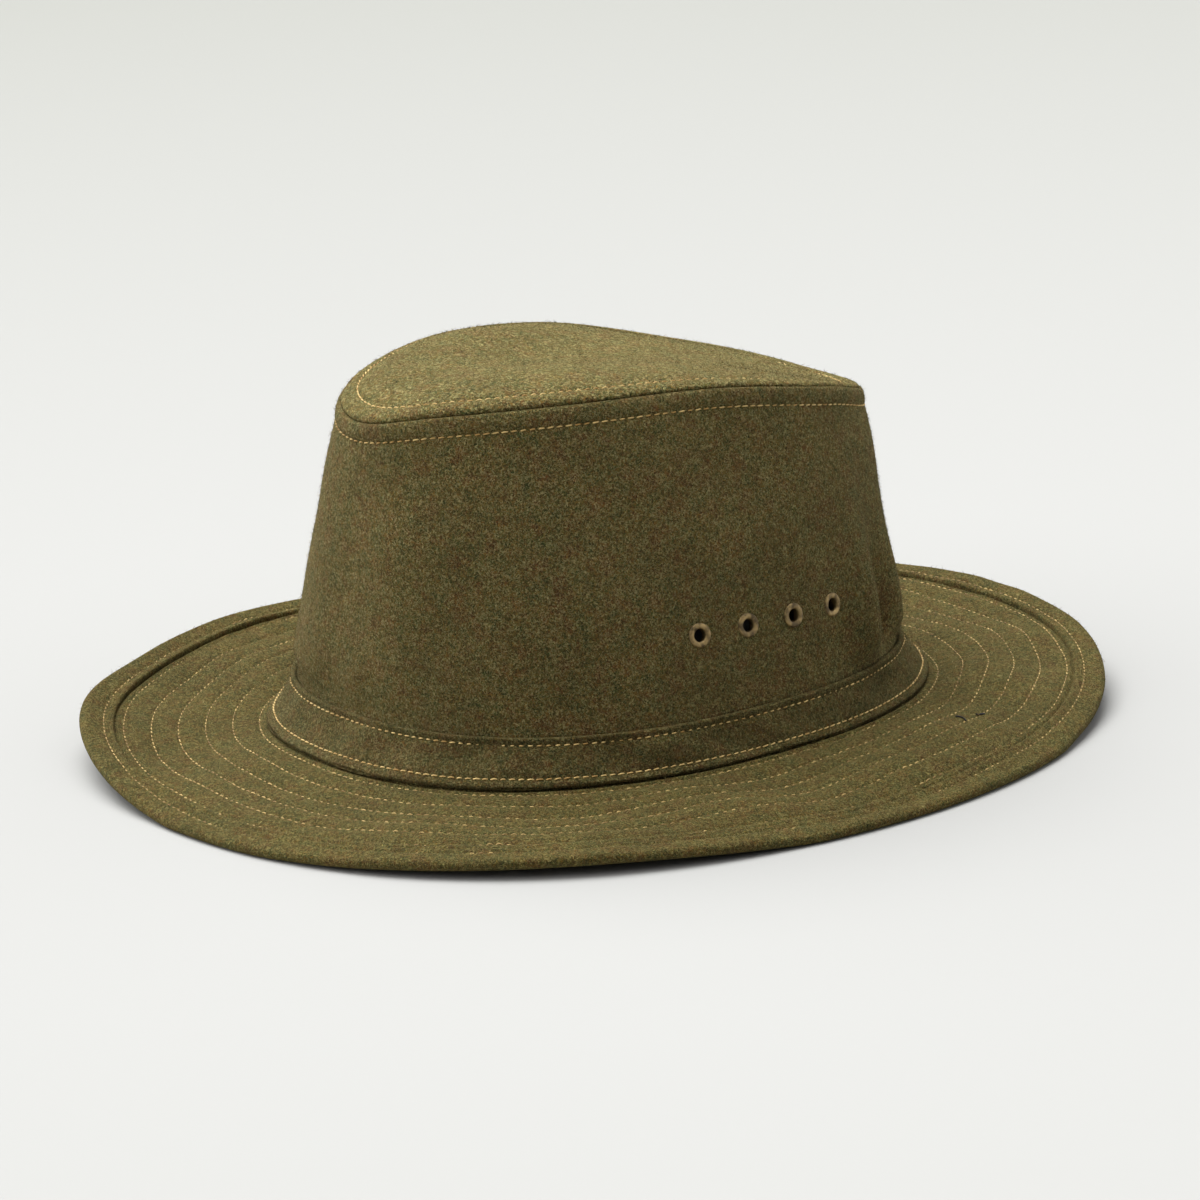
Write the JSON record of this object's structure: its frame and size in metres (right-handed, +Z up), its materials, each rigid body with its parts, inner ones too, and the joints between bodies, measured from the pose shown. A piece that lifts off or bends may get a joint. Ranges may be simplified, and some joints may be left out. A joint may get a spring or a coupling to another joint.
{
  "type": "wool cloth field hat",
  "caption": "Cut-and-sewn wool cloth field hat with a domed crown, a stitched cloth band, a row of metal eyelets on each side and a quilted brim with a bound edge.",
  "frame": {"origin": "on the surface that the hat rests on, below the middle of the head opening", "axes": "+Z up, -Y to the front of the hat, +X to the wearer's left"},
  "size_m": [0.3115, 0.3455, 0.1333],
  "materials": {
    "crown_wool": "olive heathered melton wool, napped and matte",
    "band_wool": "olive heathered melton wool, napped and matte",
    "brim_wool": "olive heathered melton wool, topstitched in tan thread",
    "eyelet_metal": "antiqued brass, dark and worn on the rim"
  },
  "bodies": {
    "root": {"crown_side": "crown_wool", "crown_top": "crown_wool", "hat_band": "band_wool", "brim": "brim_wool", "brim_binding": "brim_wool", "eyelet_left_1": "eyelet_metal", "eyelet_left_2": "eyelet_metal", "eyelet_left_3": "eyelet_metal", "eyelet_left_4": "eyelet_metal", "eyelet_right_1": "eyelet_metal", "eyelet_right_2": "eyelet_metal", "eyelet_right_3": "eyelet_metal", "eyelet_right_4": "eyelet_metal"}
  },
  "joints": []
}
